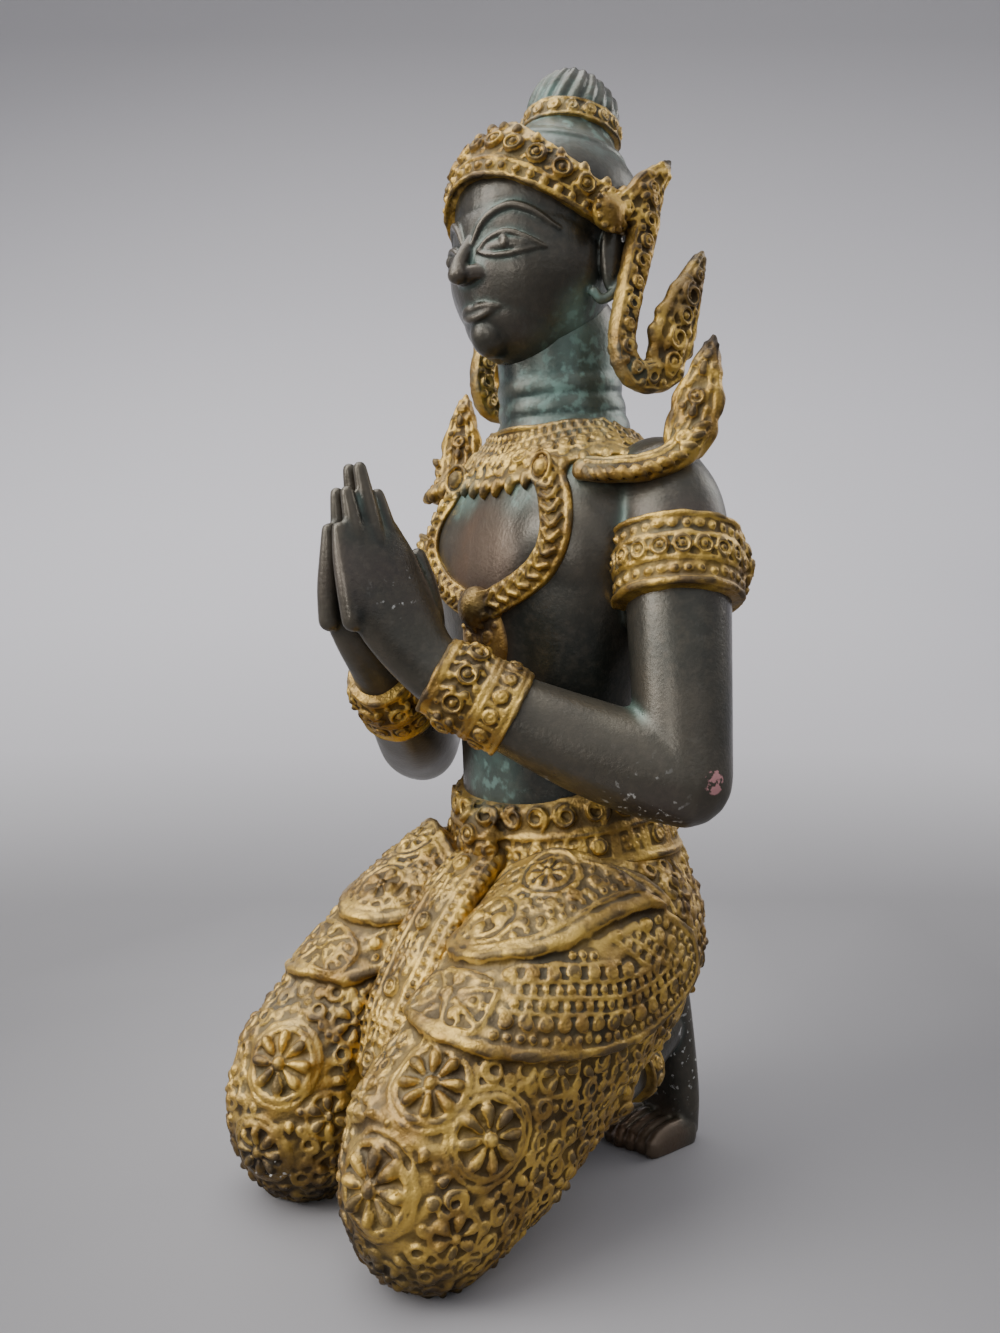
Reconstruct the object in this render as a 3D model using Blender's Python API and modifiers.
"""A kneeling deity in cast bronze, hands pressed together, sitting on its heels.

The figure faces -Y, its left side is +X, and it stands on z = 0. It is one casting, so every form
below is a closed shape that overlaps its neighbours, and one remesh joins them into a single skin.
Relief is then pressed into that skin. All proportions are in hundredths of the figure's height.
"""

import math

import bmesh
import bpy
import numpy as np
from mathutils import Vector

HEIGHT = 0.360  # the whole figure, from the ground to the top of the topknot
U = HEIGHT / 100  # one hundredth of the height
SKIN_CELL = 0.32 * U  # the remesh that joins the forms
SKIN_SMOOTHING = 2  # passes that soften the joins
TRIANGLES = 9700  # of the finished solid

SIDES = (1, -1)  # the figure's left and right


# Shapes


def smooth_rows(rows, steps):
    """Rows of numbers, with steps - 1 more set between each two on a Catmull-Rom curve."""
    rows = np.array(rows, float)
    ends = np.vstack([2 * rows[0] - rows[1], rows, 2 * rows[-1] - rows[-2]])
    found = []
    for i in range(1, len(ends) - 2):
        a, b, c, d = ends[i - 1 : i + 3]
        for t in np.arange(steps) / steps:
            found.append(
                b + 0.5 * t * (c - a + t * (2 * a - 5 * b + 4 * c - d + t * (3 * (b - c) + d - a)))
            )
    return np.array(found + [rows[-1]])


def solid_mesh(name, points, faces):
    """A closed mesh object, its faces turned outwards, from points in hundredths of the height."""
    mesh = bpy.data.meshes.new(name)
    mesh.from_pydata((np.array(points) * U).tolist(), [], faces)
    form = bmesh.new()
    form.from_mesh(mesh)
    bmesh.ops.recalc_face_normals(form, faces=form.faces)
    form.to_mesh(mesh)
    form.free()
    piece = bpy.data.objects.new(name, mesh)
    bpy.context.scene.collection.objects.link(piece)
    return piece


def loft(name, stations, steps=5, around=20, side=(1, 0, 0), power=2.0, dome=1.0):
    """A tube through stations (x, y, z, half width, half height) with domed ends.

    The half width lies along side, and the half height across it. A power over 2 squares the section.
    """
    rows = smooth_rows(stations, steps)
    centres, halves = rows[:, :3], np.maximum(rows[:, 3:5], 0.05)
    ahead = np.gradient(centres, axis=0)
    ahead /= np.linalg.norm(ahead, axis=1)[:, None]
    turn = np.linspace(0, 2 * np.pi, around, endpoint=False)
    wide = np.sign(np.cos(turn)) * np.abs(np.cos(turn)) ** (2 / power)
    high = np.sign(np.sin(turn)) * np.abs(np.sin(turn)) ** (2 / power)
    caps = np.radians([70, 45, 20])
    spots = [(0, -dome * math.sin(c), math.cos(c)) for c in caps]
    spots += [(i, 0, 1) for i in range(len(rows))]
    spots += [(len(rows) - 1, dome * math.sin(c), math.cos(c)) for c in caps[::-1]]
    points = []
    for i, out, scale in spots:
        across = np.array(side, float) - np.dot(side, ahead[i]) * ahead[i]
        across /= np.linalg.norm(across)
        up = np.cross(ahead[i], across)
        width, height = halves[i]
        middle = centres[i] + ahead[i] * out * min(width, height)
        points.extend(
            middle + np.outer(wide, across) * width * scale + np.outer(high, up) * height * scale
        )
    faces = []
    for first in range(0, (len(spots) - 1) * around, around):
        for k in range(around):
            a, b = first + k, first + (k + 1) % around
            faces.append((a, b, b + around, a + around))
    for ring, i, way in ((0, 0, -1), (len(spots) - 1, len(rows) - 1, 1)):
        first, pole = ring * around, len(points)
        points.append(centres[i] + ahead[i] * way * dome * min(halves[i]))
        faces += [(first + k, first + (k + 1) % around, pole) for k in range(around)]
    return solid_mesh(name, points, faces)


def ellipsoid(name, centre, radii):
    bpy.ops.mesh.primitive_uv_sphere_add(segments=24, ring_count=14, radius=1)
    piece = bpy.context.object
    piece.name = name
    piece.data.transform(piece.matrix_world)
    for vertex in piece.data.vertices:
        vertex.co = Vector([(c + r * v) * U for c, r, v in zip(centre, radii, vertex.co)])
    return piece


def leaf(name, spine, thick, side, lobes=0, lobe_depth=0.0):
    """A flat plate along a spine of (x, y, z, half width), lobed like a flame, thick across its face."""
    rows = smooth_rows(spine, 8)
    share = np.linspace(0, 1, len(rows))
    swell = 1 + lobe_depth * np.abs(np.sin(share * np.pi * max(lobes, 1)))
    stations = np.column_stack([rows[:, :3], np.full(len(rows), thick / 2), rows[:, 3] * swell])
    stations[:, 3] *= 0.35 + 0.65 * np.minimum(1, rows[:, 3] / rows[:, 3].max() * 2)
    return loft(name, stations, steps=1, around=14, side=side, power=3.0)


# The body


def torso():
    return [
        loft(
            "torso",
            [
                (0, 2.6, 22, 11.4, 8.6),
                (0, 2.2, 27, 11.2, 8.6),
                (0, 0.9, 32, 9.7, 7.7),
                (0, -0.3, 36.5, 8.5, 6.5),
                (0, -0.5, 42, 8.9, 6.6),
                (0, -0.3, 48, 10.6, 7.4),
                (0, -0.1, 54, 12.1, 8.1),
                (0, 0.6, 59, 12.4, 7.8),
                (0, 1.5, 63, 11.0, 6.7),
                (0, 1.9, 66, 7.6, 5.6),
            ],
            around=28,
            power=2.3,
            dome=0.4,
        ),
        loft(
            "neck",
            [(0, 2.1, 64, 6.8, 6.6), (0, 1.8, 68, 5.9, 5.9), (0, 1.4, 71, 5.5, 5.6), (0, 1.0, 76, 5.5, 5.8)],
        ),
        *[ellipsoid("chest", (s * 4.4, -2.5, 56.0), (7.4, 5.2, 7.2)) for s in SIDES],
        ellipsoid("belly", (0, -3.0, 39.5), (6.0, 4.2, 4.6)),
        *[ellipsoid("seat", (s * 5.0, 3.9, 22.6), (7.8, 6.4, 9.2)) for s in SIDES],
    ]


def arm(s):
    elbow = (s * 17.8, -1.5, 37.4)
    pieces = [
        loft(
            "upper_arm",
            [
                (s * 11.2, 2.4, 61.6, 4.2, 4.3),
                (s * 13.0, 2.0, 58.8, 4.6, 4.6),
                (s * 14.5, 1.2, 54, 4.4, 4.5),
                (s * 16.3, -0.3, 46, 4.1, 4.2),
                (*elbow, 3.8, 3.9),
            ],
        ),
        loft(
            "forearm",
            [
                (*elbow, 3.8, 3.9),
                (s * 15.3, -3.6, 38.4, 3.9, 4.1),
                (s * 12.0, -6.6, 39.9, 3.7, 3.9),
                (s * 8.0, -10.9, 42.4, 3.1, 3.3),
                (s * 4.9, -14.6, 44.9, 2.4, 2.8),
                (s * 3.3, -16.6, 46.6, 2.0, 2.7),
            ],
            side=(0.6, 0.8, 0),
        ),
        loft(
            "palm",
            [
                (s * 2.7, -16.8, 45.6, 1.7, 2.7),
                (s * 2.2, -18.3, 48.4, 1.9, 3.7),
                (s * 1.9, -19.1, 51.4, 1.7, 3.9),
                (s * 1.4, -19.6, 54.4, 1.2, 3.6),
            ],
            power=2.4,
        ),
        loft(
            "thumb",
            [
                (s * 1.9, -16.2, 48.6, 1.1, 1.2),
                (s * 1.3, -16.6, 51.8, 0.9, 1.0),
                (s * 0.9, -17.3, 54.6, 0.75, 0.8),
                (s * 0.8, -17.9, 56.4, 0.6, 0.65),
            ],
            around=12,
        ),
    ]
    tips = ((-19.5, 60.8), (-21.3, 62.8), (-22.2, 60.6), (-22.9, 57.9))
    for i, (tip_y, tip_z) in enumerate(tips):
        base_y, base_z = -17.3 - 1.65 * i, 54.0 - 0.4 * i
        pieces.append(
            loft(
                "finger",
                [
                    (s * 1.35, base_y, base_z - 2.0, 0.95, 1.0),
                    (s * 1.1, base_y * 0.6 + tip_y * 0.4, base_z * 0.6 + tip_z * 0.4, 0.85, 0.9),
                    (s * 0.75, tip_y, tip_z - 0.5, 0.55, 0.62),
                ],
                around=12,
                steps=4,
            )
        )
    return pieces


def leg(s):
    """Thigh, shin and foot. The thigh lies on the shin, and only the knee and the toes are down."""
    pieces = [
        loft(
            "thigh",
            [
                (s * 6.4, 3.8, 22.4, 7.2, 8.2),
                (s * 7.5, 0.0, 22.0, 7.6, 9.2),
                (s * 8.4, -5.0, 19.2, 7.6, 9.2),
                (s * 8.8, -11.0, 15.8, 7.2, 8.6),
                (s * 8.9, -16.6, 11.8, 7.0, 8.0),
                (s * 9.0, -20.0, 9.4, 6.7, 7.6),
            ],
            around=24,
            power=2.2,
            dome=0.8,
        ),
        ellipsoid("knee", (s * 9.0, -20.2, 7.9), (6.8, 7.0, 8.4)),
        loft(
            "shin",
            [
                (s * 9.0, -19.4, 6.6, 6.4, 6.6),
                (s * 9.0, -14.0, 8.4, 6.0, 6.4),
                (s * 9.0, -8.6, 10.6, 5.2, 5.4),
                (s * 8.8, -5.0, 11.6, 4.6, 4.6),
                (s * 8.6, -2.8, 11.6, 4.9, 4.6),
            ],
            around=24,
            dome=0.1,
        ),
        loft(
            "ankle",
            [
                (s * 8.4, -3.0, 9.6, 3.0, 2.8),
                (s * 7.2, 1.5, 9.3, 2.7, 2.5),
                (s * 6.2, 5.6, 10.0, 2.4, 2.4),
                (s * 5.0, 10.0, 11.4, 2.3, 2.6),
            ],
        ),
        loft(
            "foot",
            [
                (s * 4.8, 9.6, 17.5, 2.4, 2.4),
                (s * 4.6, 10.8, 14.4, 2.4, 2.3),
                (s * 4.5, 11.8, 9.8, 2.6, 2.0),
                (s * 4.4, 12.4, 4.6, 2.9, 1.9),
                (s * 4.3, 12.3, 1.1, 3.0, 1.9),
            ],
            power=2.4,
            dome=0.9,
        ),
    ]
    for i in range(5):
        x = s * (1.9 + 1.15 * i)
        reach = 5.8 + 0.3 * abs(i - 1)
        big = 0.88 if i == 0 else 0.68
        pieces.append(
            loft(
                "toe",
                [
                    (x, 12.2, 0.8, big, 1.4),
                    (x, 9.2, 0.8, big, 1.4),
                    (x, 7.6, 0.6, big * 0.9, 1.1),
                    (x, reach + 0.6, 0.3, big * 0.8, 0.8),
                ],
                around=12,
                steps=3,
            )
        )
    return pieces


def head():
    pieces = [
        ellipsoid("cranium", (0, 0.2, 86.0), (8.2, 9.2, 8.3)),
        ellipsoid("face", (0, -2.2, 81.6), (7.5, 7.5, 8.6)),
        ellipsoid("jaw", (0, -3.3, 77.0), (5.2, 5.2, 4.4)),
        ellipsoid("chin", (0, -6.6, 74.8), (2.0, 2.0, 1.9)),
        loft(
            "nose",
            [(0, -9.0, 83.6, 0.5, 0.5), (0, -10.0, 81.2, 0.65, 0.7), (0, -11.2, 79.2, 0.85, 0.8)],
            around=12,
        ),
    ]
    for name, half, end, middle in (
        ("upper_lip", 1.9, (-8.7, 76.9), (-9.8, 77.2)),
        ("lower_lip", 1.5, (-8.6, 76.2), (-9.5, 75.9)),
    ):
        corners = [(-half, *end, 0.3, 0.3), (0, *middle, 0.5, 0.5), (half, *end, 0.3, 0.3)]
        pieces.append(loft(name, corners, side=(0, 1, 0), around=10))
    for s in SIDES:
        pieces += [
            ellipsoid("nostril", (s * 0.95, -9.8, 78.9), (0.75, 0.9, 0.6)),
            ellipsoid("eye", (s * 3.35, -7.5, 82.1), (1.7, 1.4, 0.95)),
            loft(
                "brow",
                [
                    (s * 0.9, -9.15, 83.4, 0.3, 0.3),
                    (s * 2.3, -8.95, 85.0, 0.34, 0.34),
                    (s * 4.3, -7.95, 85.2, 0.34, 0.34),
                    (s * 6.3, -5.6, 83.8, 0.25, 0.25),
                ],
                side=(0, 0, 1),
                around=10,
            ),
            loft(
                "ear",
                [
                    (s * 8.2, 0.9, 84.6, 0.7, 0.9),
                    (s * 8.3, 1.9, 82.6, 0.7, 1.1),
                    (s * 8.0, 1.3, 79.6, 0.8, 1.1),
                    (s * 7.4, 0.4, 77.6, 0.8, 0.9),
                ],
                around=12,
            ),
        ]
    return pieces


# The regalia


def topknot():
    return [
        loft(
            "knot_foot",
            [(0, 1.8, 91.8, 5.8, 5.9), (0, 2.2, 93.4, 4.6, 4.7), (0, 2.5, 94.8, 4.1, 4.1)],
            dome=0.1,
        ),
        loft(
            "knot_band",
            [(0, 2.6, 94.3, 4.4, 4.5), (0, 2.8, 95.7, 4.0, 4.2)],
            dome=0.2,
            power=2.2,
        ),
        loft(
            "knot_tuft",
            [
                (0, 2.8, 94.8, 3.7, 3.9),
                (0, 3.0, 96.4, 3.2, 3.7),
                (0, 3.4, 97.7, 2.5, 3.3),
                (0, 3.7, 98.3, 1.6, 2.3),
            ],
            dome=0.6,
        ),
    ]


def band(name, path, grow, dome=0.15):
    """A ring on a limb: a short loft that stands proud of it by grow."""
    return loft(name, [(*row[:3], row[3] + grow, row[4] + grow) for row in path], dome=dome, around=24)


def tiara():
    """An arc of metal from ear to ear, highest over the brow."""
    rows = []
    for turn in np.linspace(-1, 1, 15):
        angle = turn * math.radians(98)
        lift = math.cos(angle) ** 2 if abs(turn) < 0.92 else 0.02
        rows.append(
            (
                8.35 * math.sin(angle) * (1 - 0.12 * lift),
                0.6 - 9.0 * math.cos(angle) * (1 - 0.1 * lift),
                84.6 + 5.8 * lift,
                0.55,
                1.35 + 0.75 * lift,
            )
        )
    return loft("tiara", rows, steps=3, around=12, side=(0, 1, 0.25), power=2.6)


def ear_ornament(s):
    """Boss, upright flame, and a tail that drops behind the ear and turns up into a second flame."""
    return [
        ellipsoid("ear_boss", (s * 9.0, -1.5, 84.4), (1.2, 1.6, 1.6)),
        leaf(
            "ear_flame",
            [
                (s * 8.9, -0.6, 84.6, 1.0),
                (s * 9.2, 1.5, 85.8, 1.5),
                (s * 9.4, 3.3, 87.6, 1.5),
                (s * 9.5, 5.4, 90.0, 0.25),
            ],
            1.3,
            (1, 0, 0),
        ),
        leaf(
            "ear_tail",
            [
                (s * 9.3, 3.2, 87.0, 1.3),
                (s * 9.4, 2.3, 83.6, 1.4),
                (s * 9.4, 0.7, 78.0, 1.2),
                (s * 9.4, -0.2, 73.6, 1.2),
                (s * 9.7, 0.9, 71.2, 1.3),
                (s * 10.1, 3.2, 71.2, 1.5),
                (s * 10.5, 5.0, 72.4, 1.7),
            ],
            1.5,
            (1, 0, 0),
        ),
        leaf(
            "tail_flame",
            [
                (s * 10.2, 4.0, 71.4, 1.5),
                (s * 10.6, 4.7, 74.4, 2.3),
                (s * 10.8, 6.0, 77.8, 1.7),
                (s * 10.9, 8.4, 82.6, 0.25),
            ],
            1.3,
            (1, 0, 0),
            lobes=5,
            lobe_depth=0.25,
        ),
    ]


def shoulder_flame(s):
    """A crescent that lies on the shoulder and turns up into a flame at its outer end."""
    return [
        loft(
            "shoulder_crescent",
            [
                (s * 9.2, -4.6, 62.6, 0.9, 1.0),
                (s * 11.6, -3.4, 62.4, 0.9, 1.2),
                (s * 13.8, -1.6, 62.6, 1.0, 1.4),
                (s * 15.2, 0.6, 63.8, 1.0, 1.6),
                (s * 15.6, 2.2, 66.0, 1.0, 1.7),
            ],
            side=(0.3, -0.6, 0.7),
        ),
        leaf(
            "shoulder_flame",
            [
                (s * 15.2, 1.2, 64.0, 1.6),
                (s * 15.6, 2.0, 67.0, 2.0),
                (s * 16.0, 2.6, 70.0, 1.5),
                (s * 16.4, 3.4, 73.4, 0.25),
            ],
            1.3,
            (0.5, -0.85, 0),
            lobes=3,
            lobe_depth=0.2,
        ),
    ]


def limb_bands(s):
    return [
        band(
            "armlet",
            [(s * 13.6, 1.85, 57.0, 4.5, 4.6), (s * 15.0, 0.75, 51.6, 4.3, 4.4)],
            0.85,
        ),
        ellipsoid("armlet_crest", (s * 16.8, 4.9, 54.6), (1.8, 1.8, 3.0)),
        band(
            "bracelet",
            [
                (s * 7.8, -11.1, 42.6, 3.0, 3.2),
                (s * 5.7, -13.6, 44.2, 2.7, 3.0),
                (s * 4.0, -15.7, 45.8, 2.3, 2.8),
            ],
            0.5,
        ),
        band("anklet", [(s * 6.9, 3.0, 9.4, 2.6, 2.5), (s * 6.4, 4.8, 9.8, 2.5, 2.45)], 0.6),
    ]


def belt():
    return [
        loft(
            "belt",
            [(0, 1.4, 27.4, 12.3, 9.4), (0, 1.0, 30.2, 11.4, 8.8), (0, 0.3, 33.6, 10.0, 7.7)],
            around=28,
            power=2.2,
            dome=0.1,
        ),
        ellipsoid("belt_boss", (0, -8.0, 31.0), (2.3, 1.2, 2.6)),
        ellipsoid("pendant", (0, -8.6, 51.2), (1.6, 1.3, 1.8)),
        *[ellipsoid("strap_boss", (s * 5.8, -5.2, 63.0), (1.2, 1.0, 1.2)) for s in SIDES],
    ]


def apron():
    """The narrow panel that hangs from the belt into the valley between the thighs."""
    return loft(
        "apron",
        [
            (0, -7.4, 29.5, 2.4, 1.2),
            (0, -11.0, 26.4, 2.5, 1.3),
            (0, -14.2, 22.4, 2.6, 1.3),
            (0, -17.2, 17.4, 2.7, 1.3),
            (0, -18.9, 12.6, 2.2, 1.2),
        ],
        power=3.0,
        around=16,
    )


# Relief, as heights over the skin in hundredths of the figure's height


def step(value, low, high):
    share = np.clip((value - low) / (high - low), 0, 1)
    return share * share * (3 - 2 * share)


def ridge(distance, width):
    """A rounded ridge, one high, where the distance is 0."""
    return np.sqrt(np.clip(1 - (distance / width) ** 2, 0, None))


def inside(flat, outline):
    """How far each flat point lies inside a closed smooth outline, negative outside it."""
    corners = smooth_rows(list(outline) + [outline[0]], 6)
    depth = np.full(len(flat), 1e9)
    within = np.zeros(len(flat), bool)
    for a, b in zip(corners[:-1], corners[1:]):
        run = b - a
        share = np.clip((flat - a) @ run / (run @ run + 1e-9), 0, 1)
        depth = np.minimum(depth, np.linalg.norm(flat - a - share[:, None] * run, axis=1))
        crosses = (a[1] > flat[:, 1]) != (b[1] > flat[:, 1])
        at = a[0] + (flat[:, 1] - a[1]) / (run[1] + 1e-9) * run[0]
        within ^= crosses & (flat[:, 0] < at)
    return np.where(within, depth, -depth)


def raised(depth, height, rim):
    """A plate of one height with a rounded rim, from how far inside its outline a point is."""
    return height * step(depth, -0.15, 0.25) + rim * ridge(depth - 0.55, 0.5)


HIP = np.array([7.4, 3.0, 22.6])
KNEE = np.array([9.0, -20.4, 8.6])


def thigh_chart(points):
    """(run from hip towards knee, run round the thigh from its top line outwards) on either side."""
    along = (KNEE - HIP) / np.linalg.norm(KNEE - HIP)
    up = np.cross((-1, 0, 0), along)
    up /= np.linalg.norm(up)
    out = np.cross(up, along)
    mirrored = np.column_stack([np.abs(points[:, 0]), points[:, 1:]]) - HIP
    turn = np.arctan2(mirrored @ out, mirrored @ up)
    return np.column_stack([mirrored @ along, 9.0 * turn])


LOWER_FLAP = [(21.0, -4.2), (22.7, 0.5), (22.3, 4.2), (19.8, 7.9), (16.2, 11.2), (11.8, 14.4)]
LOWER_FLAP += [(7.0, 16.2), (1.6, 16.9), (0.2, 12.5), (2.4, 7.0), (5.0, -3.0), (14.0, -6.6)]
UPPER_FLAP = [(12.0, -5.0), (15.6, -2.4), (16.4, 0.8), (14.4, 3.5), (11.4, 5.3), (7.6, 6.2)]
UPPER_FLAP += [(4.4, 7.2), (0.9, 9.0), (0.8, 6.4), (2.6, 3.0), (4.6, -1.0), (7.0, -4.4)]


def flaps_relief(points, facing):
    """Two flaps of the sash on each thigh, the upper one over the lower."""
    flat = thigh_chart(points)
    there = (points[:, 2] < 31) & (points[:, 1] < 9)
    lower = raised(inside(flat, LOWER_FLAP), 0.75, 0.25)
    upper = raised(inside(flat, UPPER_FLAP), 0.6, 0.2)
    return there * (lower + upper)


def belt_relief(points, facing):
    """Three rims round the hips, and cells between the lower two."""
    x, y, z = points.T
    level = z - 0.2 * np.minimum(y + 7, 8)
    there = (level > 26) & (level < 36) & (np.hypot(x, y) < 14) & (np.hypot(x, z - 31) > 2.6)
    rims = sum(ridge(level - rim, 0.42) for rim in (28.4, 31.2, 34.3))
    bars = np.abs(np.sin(9 * np.arctan2(x, -y)))
    cells = ridge(bars, 0.12) * step(level, 28.4, 28.8) * (1 - step(level, 30.8, 31.2))
    return there * (0.4 * rims + 0.3 * cells)


COLLAR_MIDDLE = (0, 3.0, 71)  # inside the neck: the collar's rows are equally far from it
STRAP = [(5.6, 62.6), (7.5, 60.2), (8.3, 57.6), (7.6, 55.2), (5.2, 53.1), (0, 51.2)]  # (x, z)


def collar_relief(points, facing):
    """A broad collar with a leafed lower edge, and a strap from each side of it to the pendant."""
    x, y, z = points.T
    reach = np.linalg.norm(points - COLLAR_MIDDLE, axis=1)
    turn = np.arctan2(np.abs(x), 3 - y)
    leaves = 0.55 * np.abs(np.cos(14 * turn))
    outer = 11.5 + 1.2 * np.cos(turn) + leaves - reach
    there = (z > 57) & (z < 69) & (np.hypot(x, y) < 12.5)
    collar = 0.5 * step(np.minimum(outer, reach - 8.0), -0.1, 0.3)
    collar += 0.25 * (ridge(reach - 8.5, 0.45) + ridge(reach - 10.2, 0.4) + ridge(outer - 1.3, 0.4))
    front = np.column_stack([np.abs(x), z])
    away = np.min([np.linalg.norm(front - spot, axis=1) for spot in smooth_rows(STRAP, 6)], axis=0)
    strap = 0.45 * step(1.35 - away, 0, 0.35) * (y < 1) * (y > -11) * (z > 48)
    return np.maximum(there * collar, strap)


ROUNDELS = {
    1: [((10.8, -27.2, 9.6), 3.7), ((15.6, -19.8, 12.8), 3.3), ((12.0, -22.4, 16.4), 3.3)],
    -1: [((5.3, -25.4, 13.5), 3.5), ((6.4, -27.0, 5.8), 2.9), ((15.6, -19.8, 12.8), 3.3)],
}


def roundel_relief(points, facing):
    """Rosettes of eight petals in rings on the knees."""
    height = np.zeros(len(points))
    for s in SIDES:
        for (x, y, z), radius in ROUNDELS[s]:
            centre = np.array((s * x, y, z))
            near = np.flatnonzero(np.linalg.norm(points - centre, axis=1) < radius + 2)
            normal = facing[near].mean(axis=0)
            normal /= np.linalg.norm(normal)
            across = np.cross(normal, (0, 0, 1))
            across /= np.linalg.norm(across)
            offset = points[near] - centre
            u, v = offset @ across, offset @ np.cross(across, normal)
            out = np.hypot(u, v)
            petal = np.abs(np.cos(4 * np.arctan2(v, u)))
            bloom = 0.5 * step(petal, 0.35, 0.8) * ridge(out - 0.5 * radius, 0.36 * radius)
            height[near] += bloom + 0.4 * ridge(out - radius, 0.4) + 0.45 * ridge(out, 0.55)
    return height


def cuff_relief(points, facing):
    """Flutes where the trouser leg ends behind the shin."""
    x, y, z = points.T
    turn = np.arctan2(z - 11, np.abs(x) - 8.8)
    there = (y > -6.5) & (y < -1.2) & (z < 18) & (z > 3) & (np.hypot(np.abs(x) - 8.8, z - 11) < 7)
    return there * 0.35 * np.abs(np.cos(7 * turn)) * step(y, -6.5, -5.5) * (facing[:, 1] < 0.8)


def neck_relief(points, facing):
    """Folds round the neck."""
    x, y, z = points.T
    there = (z > 66) & (z < 73.5) & (np.hypot(x, y - 1.4) < 7)
    folds = [ridge(z - fold - 0.1 * (y - 1.4), 0.75) for fold in (67.6, 69.4, 71.2)]
    return there * 0.18 * sum(folds)


def arm_bands_relief(points, facing):
    """Rims on the armlets and the bracelets, and a row of studs on each."""
    height = np.zeros(len(points))
    mirrored = np.column_stack([np.abs(points[:, 0]), points[:, 1:]])
    for start, end, reach, rims, studs in (
        ((13.5, 1.9, 57.4), (15.1, 0.7, 51.2), 6.0, (0.04, 0.32, 0.66, 0.96), (0.49, 7)),
        ((8.2, -10.5, 42.3), (3.7, -16.1, 46.1), 5.0, (0.06, 0.5, 0.94), (0.28, 5)),
        ((8.2, -10.5, 42.3), (3.7, -16.1, 46.1), 5.0, (), (0.72, 5)),
    ):
        start, end = np.array(start), np.array(end)
        length = np.linalg.norm(end - start)
        along = (end - start) / length
        offset = mirrored - start
        run = offset @ along
        out = offset - run[:, None] * along
        there = (run > -0.6) & (run < length + 0.6) & (np.linalg.norm(out, axis=1) < reach)
        side = np.cross(along, (0, 0, 1))
        side /= np.linalg.norm(side)
        turn = np.arctan2(out @ np.cross(side, along), out @ side)
        for share in rims:
            height += there * 0.3 * ridge(run - share * length, 0.32)
        row, count = studs
        beside = np.abs(((turn * count / np.pi) % 1) - 0.5) * np.pi / count
        around = beside * np.linalg.norm(out, axis=1)
        height += there * 0.4 * ridge(np.hypot(around, run - row * length), 0.75)
    return height


RELIEFS = (
    flaps_relief,
    belt_relief,
    collar_relief,
    roundel_relief,
    cuff_relief,
    neck_relief,
    arm_bands_relief,
)


def press_relief(statue):
    """Moves each point of the skin outwards by the height of the relief there."""
    mesh = statue.data
    points = np.empty(len(mesh.vertices) * 3)
    mesh.vertices.foreach_get("co", points)
    points = points.reshape(-1, 3) / U
    facing = np.empty(len(mesh.vertices) * 3, np.float32)
    mesh.vertex_normals.foreach_get("vector", facing)
    facing = facing.reshape(-1, 3)
    height = sum(relief(points, facing) for relief in RELIEFS)
    mesh.vertices.foreach_set("co", ((points + facing * height[:, None]) * U).ravel())
    mesh.update()


# Joining


def one_skin(name, pieces):
    """The pieces joined into one closed skin by a voxel remesh, and softened."""
    for piece in pieces:
        piece.select_set(True)
    bpy.context.view_layer.objects.active = pieces[0]
    bpy.ops.object.join()
    lump = bpy.context.object
    lump.name = name
    remesh = lump.modifiers.new("join", "REMESH")
    remesh.mode = "VOXEL"
    remesh.voxel_size = SKIN_CELL
    soften = lump.modifiers.new("soften", "SMOOTH")
    soften.factor = 0.5
    soften.iterations = round(SKIN_SMOOTHING)
    skin = bpy.data.meshes.new_from_object(lump.evaluated_get(bpy.context.evaluated_depsgraph_get()))
    lump.modifiers.clear()
    lump.data = skin
    skin.name = name
    return lump


def thinned(statue):
    """The skin with fewer facets, cut flat where it touches the ground, and centred on the origin."""
    thin = statue.modifiers.new("facets", "DECIMATE")
    thin.ratio = TRIANGLES / (2 * len(statue.data.polygons))
    mesh = bpy.data.meshes.new_from_object(statue.evaluated_get(bpy.context.evaluated_depsgraph_get()))
    statue.modifiers.clear()
    statue.data = mesh
    mesh.name = statue.name
    form = bmesh.new()
    form.from_mesh(mesh)
    every = form.verts[:] + form.edges[:] + form.faces[:]
    bmesh.ops.bisect_plane(form, geom=every, plane_no=(0, 0, -1), clear_outer=True)
    rims = [edge for edge in form.edges if edge.is_boundary]
    bmesh.ops.holes_fill(form, edges=rims, sides=0)
    bmesh.ops.triangulate(form, faces=form.faces)
    low = Vector([min(vertex.co[i] for vertex in form.verts) for i in range(3)])
    high = Vector([max(vertex.co[i] for vertex in form.verts) for i in range(3)])
    middle = (low + high) / 2
    bmesh.ops.translate(form, verts=form.verts, vec=(-middle.x, -middle.y, 0))
    form.to_mesh(mesh)
    form.free()


def bronze():
    """Dark bronze with worn gilding, as one plain finish."""
    material = bpy.data.materials.new("gilt_bronze")
    material.use_nodes = True
    shader = material.node_tree.nodes["Principled BSDF"]
    shader.inputs["Base Color"].default_value = (0.32, 0.22, 0.09, 1)
    shader.inputs["Metallic"].default_value = 0.8
    shader.inputs["Roughness"].default_value = 0.45
    return material


def main():
    for thing in list(bpy.data.objects):
        bpy.data.objects.remove(thing)
    pieces = torso() + head() + topknot() + belt() + [tiara(), apron()]
    for s in SIDES:
        pieces += arm(s) + leg(s) + ear_ornament(s) + shoulder_flame(s) + limb_bands(s)
    figure = one_skin("kneeling_figure", pieces)
    press_relief(figure)
    thinned(figure)
    figure.data.materials.clear()
    figure.data.materials.append(bronze())
    group = bpy.data.collections.new("gilt_bronze_deity")
    bpy.context.scene.collection.children.link(group)
    for holder in list(figure.users_collection):
        holder.objects.unlink(figure)
    group.objects.link(figure)
    figure.data.shade_smooth()
    figure.data.set_sharp_from_angle(angle=math.radians(40))


main()
